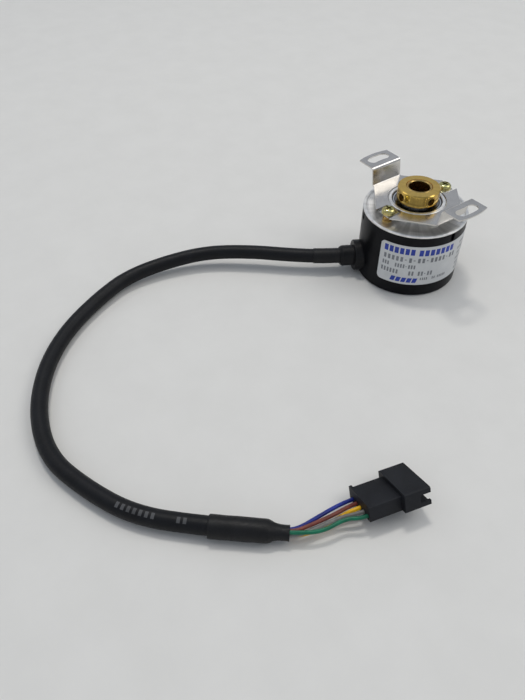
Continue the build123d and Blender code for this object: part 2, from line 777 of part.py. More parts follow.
with BuildPart() as cable:
    with BuildLine() as cable_path:
        FilletPolyline(*cable_route, radius=cable_radii)
    with BuildSketch(Plane(origin=cable_path.line @ 0, z_dir=cable_path.line % 0)) as cable_section:
        Circle(cable_radius)
    sweep()
cable.part.label = "cable"
export_step(cable.part, "parts/cable.step")
print("cable arc radii", [round(radius, 1) for radius in cable_radii])
report_cord("cable", cable.part, cable_path.line, cable_section.sketch.area)

# ---- shrunk boot over the cable where it leaves the nut, on the same line as the cable
boot_wall = 0.25
boot_start_radius = 25.2
boot_length_past_corner = 6.8
corner_point = Vector(*cable_route[1])
boot_direction = (Vector(*cable_route[2]) - corner_point).normalized()
boot_route = [
    tuple(polar(boot_start_radius, gland_angle, gland_height)),
    cable_route[1],
    tuple(corner_point + boot_direction * boot_length_past_corner),
]

with BuildPart() as cable_boot:
    with BuildLine() as boot_path:
        FilletPolyline(*boot_route, radius=cable_radii[0])
    with BuildSketch(Plane(origin=boot_path.line @ 0, z_dir=boot_path.line % 0)) as boot_section:
        Circle(cable_radius + boot_wall)
        Circle(cable_radius, mode=Mode.SUBTRACT)
    sweep()
cable_boot.part.label = "cable_boot"
export_step(cable_boot.part, "parts/cable_boot.step")

# ---- shrink sleeve over the end of the jacket, pinched down onto the cores
sleeve_radius = 3.45
sleeve_neck_radius = 2.35
sleeve_bore_radius = cable_radius + 0.1
sleeve_length = 22.5
sleeve_shoulder = 17.0
sleeve_jacket_depth = 15.0
cable_end = Vector(*cable_route[-1])
sleeve_direction = (cable_end - Vector(*cable_route[-2])).normalized()
sleeve_start = cable_end - sleeve_direction * sleeve_jacket_depth
sleeve_end = sleeve_start + sleeve_direction * sleeve_length
sleeve_side = sleeve_direction.cross(Vector(0, 0, 1))
sleeve_plane = Plane(origin=sleeve_start, x_dir=sleeve_side, z_dir=sleeve_side.cross(sleeve_direction))
core_bore_radius = bundle_half_width + wire_radius + 0.05

with BuildPart() as end_sleeve:
    with BuildSketch(sleeve_plane) as sleeve_section:
        with BuildLine():
            shoulder_curve = Spline(
                (sleeve_radius - 0.1, sleeve_shoulder),
                (sleeve_neck_radius + 0.55, sleeve_shoulder + 1.9),
                (sleeve_neck_radius, sleeve_length),
                tangents=[(-0.1, 1), (0, 1)],
            )
            Polyline(
                shoulder_curve @ 1,
                (core_bore_radius, sleeve_length),
                (core_bore_radius, sleeve_jacket_depth),
                (sleeve_bore_radius, sleeve_jacket_depth),
                (sleeve_bore_radius, 0),
                (sleeve_radius, 0),
                shoulder_curve @ 0,
            )
        make_face()
    revolve(axis=Axis(sleeve_start, sleeve_direction))
end_sleeve.part.label = "end_sleeve"
export_step(end_sleeve.part, "parts/end_sleeve.step")

# ================================================================ connector

# The free connector lies rolled over on one edge, as its stiff cores hold it.
connector_yaw = 76.1
connector_roll = 25.0
hood_width = 14.8
hood_height = 6.0
hood_length = 8.1
base_width = 11.4
base_height = 4.8
base_length = 9.2
base_drop = 0.8             # the base sits below the middle of the hood
base_shift = -0.3           # and a little towards the lower edge
rear_rim = 0.8
rim_fin = 1.0               # how far the rear rim stands out at the lower edge
row_drop = 1.2              # the row of passages sits below the middle of the base
row_shift = -0.3
connector_origin = Vector(79.2, -82.8, 5.95)
mating_direction = polar(1.0, connector_yaw)
level_side = mating_direction.cross(Vector(0, 0, 1))
connector_side = level_side * cos(radians(connector_roll)) + Vector(0, 0, 1) * sin(radians(connector_roll))
connector_up = connector_side.cross(mating_direction)
connector_plane = Plane(origin=connector_origin, x_dir=connector_side, z_dir=mating_direction)
base_plane = Plane(
    origin=connector_origin - connector_up * base_drop + connector_side * base_shift,
    x_dir=connector_side,
    z_dir=mating_direction,
)

row_plane = Plane(
    origin=base_plane.origin - connector_up * row_drop + connector_side * row_shift,
    x_dir=connector_side,
    z_dir=mating_direction,
)

hood_wall = 0.8
hood_floor = 1.2
hood_corner = 0.6
contact_hole = 1.4          # square passages for the contacts
side_notch_length = 3.2
side_notch_height = 2.6

# ---- front half of the plug: an open hood with a notch in each short side
with BuildPart() as connector_hood:
    with BuildSketch(connector_plane) as hood_outline:
        RectangleRounded(hood_width, hood_height, hood_corner)
    extrude(amount=hood_length)
    with BuildSketch(connector_plane.offset(hood_floor)) as hood_cavity:
        Rectangle(hood_width - 2 * hood_wall, hood_height - 2 * hood_wall)
    extrude(amount=hood_length, mode=Mode.SUBTRACT)
    with BuildSketch(connector_plane.offset(hood_length - side_notch_length)) as hood_notches:
        Rectangle(hood_width + 1, side_notch_height)
    extrude(amount=side_notch_length, mode=Mode.SUBTRACT)
    with BuildSketch(row_plane) as hood_floor_holes:
        with GridLocations(wire_pitch, 0, 5, 1):
            Rectangle(contact_hole, contact_hole)
    extrude(amount=hood_floor, mode=Mode.SUBTRACT)
connector_hood.part.label = "connector_hood"
export_step(connector_hood.part, "parts/connector_hood.step")

# ---- rear half of the plug: a block with five passages and a fin on its back edge
with BuildPart() as connector_base:
    with BuildSketch(base_plane.offset(-base_length)) as base_outline:
        RectangleRounded(base_width, base_height, 0.3)
    extrude(amount=base_length)
    with BuildSketch(base_plane.offset(-base_length - rear_rim)) as rim_outline:
        with Locations((-rim_fin / 2, 0)):
            RectangleRounded(base_width + rim_fin, base_height, 0.3)
    extrude(amount=rear_rim)
    with BuildSketch(row_plane.offset(-base_length - rear_rim)) as contact_holes:
        with GridLocations(wire_pitch, 0, 5, 1):
            Rectangle(contact_hole, contact_hole)
    extrude(amount=base_length + rear_rim, mode=Mode.SUBTRACT)
connector_base.part.label = "connector_base"
export_step(connector_base.part, "parts/connector_base.step")

# ---- crimped socket contacts, one on the end of each core
contact_length = 7.0
contact_end = -1.0
contact_radius = 0.65

with BuildPart() as connector_contacts:
    with BuildSketch(row_plane.offset(contact_end - contact_length)) as contact_outline:
        with GridLocations(wire_pitch, 0, 5, 1):
            Circle(contact_radius)
            Circle(0.35, mode=Mode.SUBTRACT)
    extrude(amount=contact_length)
connector_contacts.part.label = "connector_contacts"
export_step(connector_contacts.part, "parts/connector_contacts.step")

# ---- five insulated cores from the sleeve to the connector
core_start_depth = 7.3      # how far each core starts inside the sleeve's mouth
core_inner_depth = 3.0      # the cores run level from here out of the sleeve
core_start_squeeze = 0.97   # the bundle is a little tighter where it leaves the jacket
core_lead_out = 1.5         # straight stretch outside the sleeve
core_lead_back = 2.0        # straight stretch behind the connector
core_lead_in = 2.0          # how far each core reaches into the connector
# for each core: place in the bundle (to the side, up), two middle points, passage counted from the middle
core_middles = {
    "blue": [(-1.284, -0.545), [(72.1, -103.6, 2.7), (72.1, -98.4, 2.1)], -2],
    "brown": [(-0.381, 0.375), [(73.5, -107.6, 4.3), (74.7, -100.2, 4.1)], -1],
    "yellow": [(0.08, -0.988), [(74.8, -107.2, 1.8), (75.5, -98.1, 2.5)], 0],
    "grey": [(0.833, 0.086), [(74.5, -107.6, 3.2), (76.3, -99.0, 4.0)], 1],
    "green": [(0.522, 1.294), [(77.1, -106.4, 4.7), (77.9, -98.8, 5.3)], 2],
}

for core_name, (bundle_place, middle_points, contact_index) in core_middles.items():
    core_offset = sleeve_side * bundle_place[0] + Vector(0, 0, 1) * bundle_place[1]
    contact_mouth = (
        row_plane.origin
        - mating_direction * (base_length + rear_rim)
        + connector_side * (wire_pitch * contact_index)
    )
    core_route = [
        tuple(sleeve_end + core_offset * core_start_squeeze - sleeve_direction * core_start_depth),
        tuple(sleeve_end + core_offset - sleeve_direction * core_inner_depth),
        tuple(sleeve_end + core_offset + sleeve_direction * core_lead_out),
        *middle_points,
        tuple(contact_mouth - mating_direction * core_lead_back),
        tuple(contact_mouth + mating_direction * core_lead_in),
    ]
    core_radii = corner_radii(core_route)
    with BuildPart() as core:
        with BuildLine() as core_path:
            FilletPolyline(*core_route, radius=core_radii)
        with BuildSketch(Plane(origin=core_path.line @ 0, z_dir=core_path.line % 0)) as core_section:
            Circle(wire_radius)
        sweep()
    core.part.label = f"{core_name}_core"
    export_step(core.part, f"parts/{core_name}_core.step")
    print(f"{core_name} core route", [tuple(round(c, 2) for c in point) for point in core_route])
    print(f"{core_name} core arc radii", [round(radius, 1) for radius in core_radii])
    report_cord(f"{core_name}_core", core.part, core_path.line, core_section.sketch.area)
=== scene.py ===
import math

import bmesh
import bpy
from mathutils import Matrix, Vector, noise


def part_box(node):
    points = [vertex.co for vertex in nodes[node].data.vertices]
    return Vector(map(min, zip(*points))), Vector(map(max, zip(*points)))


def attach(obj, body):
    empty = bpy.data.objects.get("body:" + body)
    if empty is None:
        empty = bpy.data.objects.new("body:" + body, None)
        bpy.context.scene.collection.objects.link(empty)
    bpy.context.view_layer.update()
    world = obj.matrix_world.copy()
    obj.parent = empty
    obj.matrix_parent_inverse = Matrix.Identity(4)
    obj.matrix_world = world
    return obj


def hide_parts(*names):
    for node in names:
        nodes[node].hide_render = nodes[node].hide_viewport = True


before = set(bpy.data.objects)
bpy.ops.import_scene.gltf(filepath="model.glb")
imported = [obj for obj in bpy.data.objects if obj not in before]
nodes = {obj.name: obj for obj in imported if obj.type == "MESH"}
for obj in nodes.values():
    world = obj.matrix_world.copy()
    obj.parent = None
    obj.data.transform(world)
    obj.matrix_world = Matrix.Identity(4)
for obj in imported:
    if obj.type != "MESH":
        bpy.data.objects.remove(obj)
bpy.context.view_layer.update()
scene = bpy.context.scene
scene.view_settings.view_transform = "Standard"

MM = 0.001

# ---------------------------------------------------------------- camera

CAMERA_PLACE = Vector((0.1366, -0.1661, 0.1600))
CAMERA_FORWARD = Vector((-0.5787, 0.3963, -0.7128)).normalized()
CAMERA_ROLL = math.radians(-0.717)

level_right = CAMERA_FORWARD.cross(Vector((0, 0, 1))).normalized()
level_up = level_right.cross(CAMERA_FORWARD)
camera_right = math.cos(CAMERA_ROLL) * level_right + math.sin(CAMERA_ROLL) * level_up
camera_up = camera_right.cross(CAMERA_FORWARD)

camera = bpy.data.objects.new("camera", bpy.data.cameras.new("camera"))
scene.collection.objects.link(camera)
turn = Matrix((camera_right, camera_up, -CAMERA_FORWARD)).transposed()
camera.matrix_world = Matrix.Translation(CAMERA_PLACE) @ turn.to_4x4()
camera.data.lens = 31.8
camera.data.sensor_width = 36.0
camera.data.clip_start = 0.01
scene.camera = camera


# ---------------------------------------------------------------- materials


def new_material(name):
    """An empty Principled material and its node tree."""
    material = bpy.data.materials.new(name)
    material.use_nodes = True
    return material, material.node_tree, material.node_tree.nodes["Principled BSDF"]


def add(tree, kind, **inputs):
    """Adds a node and sets its inputs by name: a number, a colour, or another node's socket."""
    node = tree.nodes.new(kind)
    for key, value in inputs.items():
        if key.startswith("set_"):
            setattr(node, key[4:], value)
            continue
        numbered = key[0] == "i" and key[1:].isdigit()
        socket = node.inputs[int(key[1:]) if numbered else key.replace("_", " ")]
        if isinstance(value, bpy.types.NodeSocket):
            tree.links.new(value, socket)
        else:
            socket.default_value = value
    return node


def object_place(tree):
    """The place of a shaded point in its own object's frame."""
    return tree.nodes.new("ShaderNodeTexCoord").outputs["Object"]


def noise_of(tree, vector, scale, detail=4.0, rough=0.55, stretch=(1, 1, 1)):
    """A noise value at a scale given in features per metre."""
    mapped = add(tree, "ShaderNodeMapping", Vector=vector, Scale=stretch)
    made = add(tree, "ShaderNodeTexNoise", Vector=mapped.outputs[0], Scale=scale, Detail=detail)
    made.inputs["Roughness"].default_value = rough
    return made.outputs[0]


def ranged(tree, value, low, high, start=0.35, end=0.65):
    """Maps a noise value to the range low to high."""
    made = add(tree, "ShaderNodeMapRange", Value=value)
    made.inputs["From Min"].default_value = start
    made.inputs["From Max"].default_value = end
    made.inputs["To Min"].default_value = low
    made.inputs["To Max"].default_value = high
    return made.outputs[0]


def mixed(tree, factor, first, second):
    """Mixes two colours."""
    made = tree.nodes.new("ShaderNodeMix")
    made.data_type = "RGBA"
    for socket, value in ((made.inputs[0], factor), (made.inputs[6], first), (made.inputs[7], second)):
        if isinstance(value, bpy.types.NodeSocket):
            tree.links.new(value, socket)
        else:
            socket.default_value = value if isinstance(value, float) else (*value, 1.0)
    return made.outputs[2]


def bumped(tree, shader, height, strength, distance):
    """Links a bump made from a height value to a shader."""
    made = add(tree, "ShaderNodeBump", Height=height, Strength=strength, Distance=distance)
    tree.links.new(made.outputs[0], shader.inputs["Normal"])


def worn_edges(tree):
    """A value that rises from 0 to 1 on convex edges."""
    geometry = tree.nodes.new("ShaderNodeNewGeometry")
    return ranged(tree, geometry.outputs["Pointiness"], 0.0, 1.0, 0.52, 0.60)


def moulded(
    name, colour, rough, grain=2600.0, depth=0.00002, spread=0.35, wear=0.25, dust=0.12, gloss=0.5
):
    """Moulded or painted surface: fine grain, uneven roughness, paler edges and a trace of dust."""
    material, tree, shader = new_material(name)
    place = object_place(tree)
    broad = noise_of(tree, place, 140.0, 3.0)
    fine = noise_of(tree, place, grain, 3.0)
    darker = [channel * (1 - spread) for channel in colour]
    lighter = [min(1.0, channel * (1 + spread) + 0.004) for channel in colour]
    tone = mixed(tree, ranged(tree, broad, 0.0, 1.0), darker, lighter)
    edge = add(tree, "ShaderNodeMath", set_operation="MULTIPLY", i0=worn_edges(tree), i1=wear)
    pale = [min(1.0, channel * 1.6 + 0.05) for channel in colour]
    tone = mixed(tree, edge.outputs[0], tone, pale)
    specks = ranged(tree, noise_of(tree, place, 900.0, 6.0, 0.7), 0.0, dust, 0.58, 0.75)
    tone = mixed(tree, specks, tone, [0.45, 0.44, 0.42])
    tree.links.new(tone, shader.inputs["Base Color"])
    tree.links.new(ranged(tree, broad, rough * 0.85, min(1.0, rough * 1.15)), shader.inputs["Roughness"])
    shader.inputs["Specular IOR Level"].default_value = gloss
    bumped(tree, shader, fine, 0.5, depth)
    return material


def flattened(tree, place):
    """A place with its height taken out, its distance from the Z axis, and its height."""
    parts = add(tree, "ShaderNodeSeparateXYZ", Vector=place)
    flat = add(tree, "ShaderNodeCombineXYZ", X=parts.outputs[0], Y=parts.outputs[1], Z=0.0).outputs[0]
    radius = add(tree, "ShaderNodeVectorMath", set_operation="LENGTH", i0=flat).outputs["Value"]
    return flat, radius, parts.outputs[2]


def round_marks(tree, radius, height, fineness):
    """A value with fine rings about the Z axis on faces and fine lines round its walls."""
    along = add(tree, "ShaderNodeMath", set_operation="ADD", i0=radius, i1=height)
    line = add(tree, "ShaderNodeTexNoise", set_noise_dimensions="1D", W=along.outputs[0], Detail=3.0)
    line.inputs["Scale"].default_value = fineness
    return line.outputs[0]


def turned(
    name,
    colour,
    rough,
    fineness=9000.0,
    depth=0.0000012,
    brushed=0.55,
    stain=0.25,
    stained=(0.2, 0.12, 0.04),
    reflection_streak=0.2,
):
    """Metal turned on a lathe: rings, painted reflection streaks, blotchy roughness, slight stains and
    bright edges.
    """
    material, tree, shader = new_material(name)
    place = object_place(tree)
    flat, radius, height = flattened(tree, place)
    marks = round_marks(tree, radius, height, fineness)
    around = add(tree, "ShaderNodeVectorMath", set_operation="NORMALIZE", i0=flat).outputs[0]
    # painted reflection: dark streaks round the Z axis, radial on faces and upright on walls
    reflection_streaks = ranged(tree, noise_of(tree, around, 4.5, 3.0), 0.0, reflection_streak, 0.42, 0.62)
    broad = noise_of(tree, place, 260.0, 5.0, 0.6)
    darker = [channel * 0.86 for channel in colour]
    tone = mixed(tree, ranged(tree, marks, 0.0, 1.0), darker, colour)
    tone = mixed(tree, reflection_streaks, tone, [channel * 0.4 for channel in colour])
    tone = mixed(tree, ranged(tree, broad, 0.0, stain, 0.5, 0.75), tone, stained)
    bright = add(tree, "ShaderNodeMath", set_operation="MULTIPLY", i0=worn_edges(tree), i1=0.5)
    tone = mixed(tree, bright.outputs[0], tone, [min(1.0, channel * 1.15) for channel in colour])
    tree.links.new(tone, shader.inputs["Base Color"])
    shader.inputs["Metallic"].default_value = 1.0
    shader.inputs["Anisotropic"].default_value = brushed
    tangent = add(tree, "ShaderNodeTangent", set_direction_type="RADIAL", set_axis="Z")
    tree.links.new(tangent.outputs[0], shader.inputs["Tangent"])
    tree.links.new(ranged(tree, broad, rough * 0.88, rough * 1.15), shader.inputs["Roughness"])
    bumped(tree, shader, marks, 0.6, depth)
    return material


def plated(name, colour, rough, second=None, depth=0.000004, scratch=1.0, smudge=0.5):
    """Rolled, ground or plated metal: light scratches, smudges and a slight change of tint."""
    material, tree, shader = new_material(name)
    place = object_place(tree)
    broad = noise_of(tree, place, 170.0, 4.0)
    lines = noise_of(tree, place, 1500.0, 4.0, 0.6, (1.0, 0.06, 1.0))
    second = second or [channel * 0.88 for channel in colour]
    tone = mixed(tree, ranged(tree, broad, 0.0, 1.0), colour, second)
    tree.links.new(tone, shader.inputs["Base Color"])
    shader.inputs["Metallic"].default_value = 1.0
    smudges = noise_of(tree, place, 420.0, 5.0, 0.65)
    uneven = ranged(tree, smudges, rough * (1 - smudge), rough * (1 + smudge))
    tree.links.new(uneven, shader.inputs["Roughness"])
    height = add(tree, "ShaderNodeMath", set_operation="MULTIPLY_ADD", i0=lines, i1=scratch, i2=broad)
    bumped(tree, shader, height.outputs[0], 0.35, depth)
    return material


def jacket(name, colour, rough, grain=1800.0, depth=0.00003, dust=0.2, gloss=0.5):
    """Extruded or shrunk plastic skin: faint ripples, scuffs and dust."""
    material, tree, shader = new_material(name)
    place = object_place(tree)
    ripple = noise_of(tree, place, 220.0, 2.0)
    fine = noise_of(tree, place, grain, 4.0)
    darker = [channel * 0.75 for channel in colour]
    lighter = [min(1.0, channel * 1.3) for channel in colour]
    tone = mixed(tree, ranged(tree, ripple, 0.0, 1.0), darker, lighter)
    scuffs = ranged(tree, noise_of(tree, place, 700.0, 7.0, 0.72), 0.0, dust, 0.58, 0.74)
    tone = mixed(tree, scuffs, tone, [min(1.0, channel + 0.16) for channel in colour])
    tree.links.new(tone, shader.inputs["Base Color"])
    tree.links.new(ranged(tree, fine, rough * 0.85, min(1.0, rough * 1.2)), shader.inputs["Roughness"])
    shader.inputs["Specular IOR Level"].default_value = gloss
    height = add(tree, "ShaderNodeMath", set_operation="MULTIPLY_ADD", i0=ripple, i1=2.0, i2=fine)
    bumped(tree, shader, height.outputs[0], 0.4, depth)
    return material


def painted_shade_rings(material, radii, width):
    """Paints shade into a metal in narrow dark rings round the Z axis, where a chamfer falls into shade.
    """
    tree = material.node_tree
    shader = tree.nodes["Principled BSDF"]
    tone = shader.inputs["Base Color"].links[0].from_socket
    place = object_place(tree)
    radius = flattened(tree, place)[1]
    for ring in radii:
        inside = add(tree, "ShaderNodeMath", set_operation="SUBTRACT", i0=radius, i1=ring)
        away = add(tree, "ShaderNodeMath", set_operation="ABSOLUTE", i0=inside.outputs[0])
        dark = ranged(tree, away.outputs[0], 0.95, 0.0, width * 0.6, width)
        tone = mixed(tree, dark, tone, [0.02, 0.02, 0.018])
    tree.links.new(tone, shader.inputs["Base Color"])


cover_black = moulded(
    "cover_black", [0.0018, 0.0020, 0.0034], 0.34, 5200.0, 0.000008, wear=0.05, dust=0.012, gloss=0.11
)
gland_black = moulded(
    "gland_black", [0.0035, 0.0035, 0.0045], 0.42, 4200.0, wear=0.1, dust=0.03, gloss=0.2
)
connector_black = moulded(
    "connector_black", [0.0045, 0.0056, 0.0085], 0.5, 4200.0, wear=0.12, dust=0.03, gloss=0.2
)
# each streak amount below sets how dark the painted reflection streaks are
flange_aluminium = turned(
    "flange_aluminium",
    [0.94, 0.94, 0.93],
    0.36,
    fineness=2500.0,
    depth=0.0000004,
    brushed=0.45,
    stain=0.04,
    stained=(0.5, 0.5, 0.5),
    reflection_streak=0.5,
)
hub_aluminium = turned("hub_aluminium", [0.72, 0.73, 0.74], 0.3, stain=0.1, stained=(0.4, 0.4, 0.4))
collar_brass = turned(
    "collar_brass", [0.74, 0.50, 0.13], 0.18, 3500.0, brushed=0.45, stain=0.12, reflection_streak=0.4
)
shaft_brass = turned("shaft_brass", [0.56, 0.38, 0.13], 0.26, 3500.0, stain=0.25)
spacer_brass = turned("spacer_brass", [0.55, 0.36, 0.12], 0.28, stain=0.3)
stainless = plated("stainless", [0.67, 0.65, 0.62], 0.22, depth=0.000001, smudge=0.15)
zinc_yellow = plated("zinc_yellow", [0.60, 0.50, 0.20], 0.2, second=[0.46, 0.52, 0.26], depth=0.000002)
black_steel = plated("black_steel", [0.10, 0.065, 0.035], 0.4)
spring_steel = plated("spring_steel", [0.24, 0.24, 0.25], 0.35)
bearing_steel = plated("bearing_steel", [0.56, 0.57, 0.58], 0.18)
ball_steel = plated("ball_steel", [0.78, 0.79, 0.80], 0.08)
cage_steel = plated("cage_steel", [0.50, 0.50, 0.49], 0.3)
disc_steel = plated("disc_steel", [0.46, 0.47, 0.48], 0.22)
contact_tin = plated("contact_tin", [0.62, 0.62, 0.60], 0.28)
gasket_rubber = moulded("gasket_rubber", [0.008, 0.008, 0.008], 0.8, depth=0.00003, dust=0.05, gloss=0.3)
shield_steel = plated("shield_steel", [0.28, 0.275, 0.265], 0.24)
# painted shade: dark rings on the bearing races at their chamfers
painted_shade_rings(bearing_steel, [8.3 * MM, 9.4 * MM], 0.38 * MM)
boot_rubber = jacket("boot_rubber", [0.005, 0.005, 0.006], 0.5, dust=0.06, gloss=0.3)
cable_black = jacket("cable_black", [0.0030, 0.0036, 0.0052], 0.50, dust=0.05, gloss=0.25)
sleeve_black = jacket("sleeve_black", [0.004, 0.0043, 0.0052], 0.5, depth=0.00005, dust=0.06, gloss=0.3)
board_green = moulded("board_green", [0.02, 0.16, 0.07], 0.35)
chip_black = moulded("chip_black", [0.02, 0.02, 0.022], 0.5)
holder_black = moulded("holder_black", [0.02, 0.02, 0.02], 0.5)
lamp_dark = moulded("lamp_dark", [0.05, 0.02, 0.06], 0.12, depth=0.000002)
mask_grey = plated("mask_grey", [0.45, 0.47, 0.48], 0.1)
ceramic_tan = moulded("ceramic_tan", [0.42, 0.28, 0.16], 0.5)
nylon_white = moulded("nylon_white", [0.70, 0.69, 0.64], 0.4, spread=0.08)
lead_tan = jacket("lead_tan", [0.35, 0.30, 0.22], 0.45)
label_silver = moulded(
    "label_silver", [0.62, 0.635, 0.645], 0.36, 6000.0, 0.000008, spread=0.05, wear=0.0, dust=0.05
)
label_silver.node_tree.nodes["Principled BSDF"].inputs["Metallic"].default_value = 0.2
print_blue = moulded("print_blue", [0.008, 0.038, 0.36], 0.4, spread=0.15, wear=0.0, dust=0.05)
print_pale = moulded("print_pale", [0.05, 0.052, 0.056], 0.6, spread=0.3, wear=0.0, dust=0.1)
print_grey = moulded("print_grey", [0.20, 0.21, 0.23], 0.5, spread=0.15, wear=0.0, dust=0.05)
core_paints = {
    "blue": jacket("core_blue", [0.005, 0.018, 0.22], 0.36, dust=0.05, gloss=0.35),
    "brown": jacket("core_brown", [0.17, 0.042, 0.030], 0.38, dust=0.05, gloss=0.35),
    "yellow": jacket("core_yellow", [0.78, 0.44, 0.006], 0.38, dust=0.05, gloss=0.35),
    "grey": jacket("core_grey", [0.19, 0.19, 0.18], 0.40, dust=0.05, gloss=0.35),
    "green": jacket("core_green", [0.002, 0.135, 0.070], 0.36, dust=0.05, gloss=0.35),
}

node_paints = {
    "rear_cover": cover_black,
    "front_flange": flange_aluminium,
    "cover_gasket": gasket_rubber,
    "type_label": label_silver,
    "mounting_bracket": stainless,
    "bracket_spacers": spacer_brass,
    "bracket_screws": zinc_yellow,
    "hollow_shaft": shaft_brass,
    "clamp_collar": collar_brass,
    "collar_set_screws": black_steel,
    "retaining_ring": spring_steel,
    "bearing_spacer": hub_aluminium,
    "disc_hub": hub_aluminium,
    "code_disc": disc_steel,
    "disc_clamp_ring": hub_aluminium,
    "circuit_board": board_green,
    "board_posts": spacer_brass,
    "board_screws": zinc_yellow,
    "lamp_holder": holder_black,
    "infrared_lamp": lamp_dark,
    "detector_array": chip_black,
    "mask_plate": mask_grey,
    "signal_chip": chip_black,
    "board_passives": ceramic_tan,
    "board_socket": nylon_white,
    "inner_leads": lead_tan,
    "gland_body": gland_black,
    "gland_nut": gland_black,
    "cable_boot": boot_rubber,
    "cable": cable_black,
    "end_sleeve": sleeve_black,
    "connector_hood": connector_black,
    "connector_base": connector_black,
    "connector_contacts": contact_tin,
}
for bearing in ("front", "rear"):
    node_paints[f"{bearing}_bearing_outer_race"] = bearing_steel
    node_paints[f"{bearing}_bearing_inner_race"] = bearing_steel
    node_paints[f"{bearing}_bearing_balls"] = ball_steel
    node_paints[f"{bearing}_bearing_cage"] = cage_steel
    node_paints[f"{bearing}_bearing_shields"] = shield_steel
for core_name, paint in core_paints.items():
    node_paints[f"{core_name}_core"] = paint


def paint_object(obj, material):
    """Gives every material slot of an object this material."""
    if not obj.data.materials:
        obj.data.materials.append(material)
    for index in range(len(obj.data.materials)):
        obj.data.materials[index] = material


for node_name, material in node_paints.items():
    paint_object(nodes[node_name], material)

# ---------------------------------------------------------------- cords


def make_cord(name, route, diameter, material):
    """A smooth cord whose control points are the route's points, given in millimetres."""
    curve = bpy.data.curves.new(name, "CURVE")
    curve.dimensions = "3D"
    curve.resolution_u = 24
    curve.bevel_depth = diameter * MM / 2
    curve.bevel_resolution = 8
    curve.use_fill_caps = True
    spline = curve.splines.new("NURBS")
    spline.points.add(len(route) - 1)
    for point, place in zip(spline.points, route):
        point.co = (place[0] * MM, place[1] * MM, place[2] * MM, 1.0)
    spline.order_u = 3
    spline.use_endpoint_u = True
    curve.materials.append(material)
    made = bpy.data.objects.new(name, curve)
    scene.collection.objects.link(made)
    return made


CABLE_DIAMETER = 5.6
CABLE_ROUTE = [
    (-8.5, -14.722, 6.7),
    (-16.0, -27.713, 6.7),
    (-24.5, -39.0, 6.9),
    (-37.5, -53.0, 7.0),
    (-48.0, -67.0, 6.3),
    (-53.5, -83.0, 5.0),
    (-55.5, -100.0, 3.8),
    (-50.5, -115.0, 3.1),
    (-41.0, -132.0, 2.9),
    (-27.5, -145.5, 2.85),
    (-10.0, -155.0, 2.85),
    (9.0, -158.5, 2.85),
    (26.0, -153.5, 3.0),
    (42.0, -146.0, 3.3),
    (55.5, -132.5, 3.5),
    (66.9, -119.1, 3.5),
]
CORE_DIAMETER = 1.2
CORE_ROUTES = {
    "blue": [
        (66.08, -118.14, 2.97),
        (68.84, -114.84, 2.96),
        (71.75, -111.41, 2.96),
        (72.1, -103.6, 2.7),
        (72.1, -98.4, 2.1),
        (72.65, -93.54, 1.98),
        (73.61, -89.66, 1.98),
    ],
    "brown": [
        (66.75, -118.71, 3.86),
        (69.53, -115.43, 3.88),
        (72.44, -112.0, 3.88),
        (73.5, -107.6, 4.3),
        (74.7, -100.2, 4.1),
        (74.63, -94.03, 2.93),
        (75.59, -90.15, 2.93),
    ],
    "yellow": [
        (67.09, -119.0, 2.54),
        (69.88, -115.72, 2.51),
        (72.79, -112.3, 2.51),
        (74.8, -107.2, 1.8),
        (75.5, -98.1, 2.5),
        (76.61, -94.52, 3.88),
        (77.57, -90.64, 3.88),
    ],
    "grey": [
        (67.65, -119.47, 3.58),
        (70.45, -116.21, 3.59),
        (73.37, -112.78, 3.59),
        (74.5, -107.6, 3.2),
        (76.3, -99.0, 4.0),
        (78.59, -95.01, 4.83),
        (79.55, -91.13, 4.83),
    ],
    "green": [
        (67.42, -119.28, 4.76),
        (70.21, -116.01, 4.79),
        (73.13, -112.58, 4.79),
        (77.1, -106.4, 4.7),
        (77.9, -98.8, 5.3),
        (80.57, -95.5, 5.79),
        (81.53, -91.62, 5.79),
    ],
}


def centreline(cord):
    """The points of a cord's own smooth line, in the scene's frame."""
    bare = cord.copy()
    bare.data = cord.data.copy()
    bare.data.bevel_depth = 0.0
    bare.data.use_fill_caps = False
    scene.collection.objects.link(bare)
    mesh = bpy.data.meshes.new_from_object(bare)
    points = [vertex.co.copy() for vertex in mesh.vertices]
    bpy.data.objects.remove(bare)
    bpy.data.meshes.remove(mesh)
    return points


def mesh_object(name, build, material, smooth_angle=35.0):
    """Makes an object from a function that fills a bmesh."""
    shape = bmesh.new()
    build(shape)
    bmesh.ops.recalc_face_normals(shape, faces=shape.faces)
    mesh = bpy.data.meshes.new(name)
    shape.to_mesh(mesh)
    shape.free()
    mesh.materials.append(material)
    mesh.shade_smooth()
    mesh.set_sharp_from_angle(angle=math.radians(smooth_angle))
    made = bpy.data.objects.new(name, mesh)
    scene.collection.objects.link(made)
    return made


def join_rings(shape, rings):
    """Skins a list of rings of points that all have the same count."""
    rows = [[shape.verts.new(point) for point in ring] for ring in rings]
    for row, following in zip(rows, rows[1:]):
        for index in range(len(row)):
            after = (index + 1) % len(row)
            shape.faces.new((row[index], row[after], following[after], following[index]))


def ring_at(centre, direction, side, radius, count=48):
    """A circle of points round a line."""
    upward = side.cross(direction).normalized()
    points = []
    for index in range(count):
        angle = math.tau * index / count
        points.append(centre + radius * (math.cos(angle) * side + math.sin(angle) * upward))
    return points


cable = make_cord("cable_jacket", CABLE_ROUTE, CABLE_DIAMETER, cable_black)
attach(cable, "housing")
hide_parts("cable")
cable_line = centreline(cable)

for core_name, route in CORE_ROUTES.items():
    core = make_cord(f"{core_name}_wire", route, CORE_DIAMETER, core_paints[core_name])
    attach(core, "housing")
    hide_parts(f"{core_name}_core")

# ---- faint marks printed on the cable's upper side, blank blocks in place of characters
MARK_START = 222.0 * MM
MARK_LETTERS = "#######   ##"
MARK_PITCH = 1.83 * MM
MARK_SHARE = 0.55
MARK_LIFT = 0.015 * MM
MARK_POINTS = 5
MARK_STEP = math.radians(9.0)
# how far the marks sit from the top towards the outer side
MARK_LEAN = math.radians(16.0)


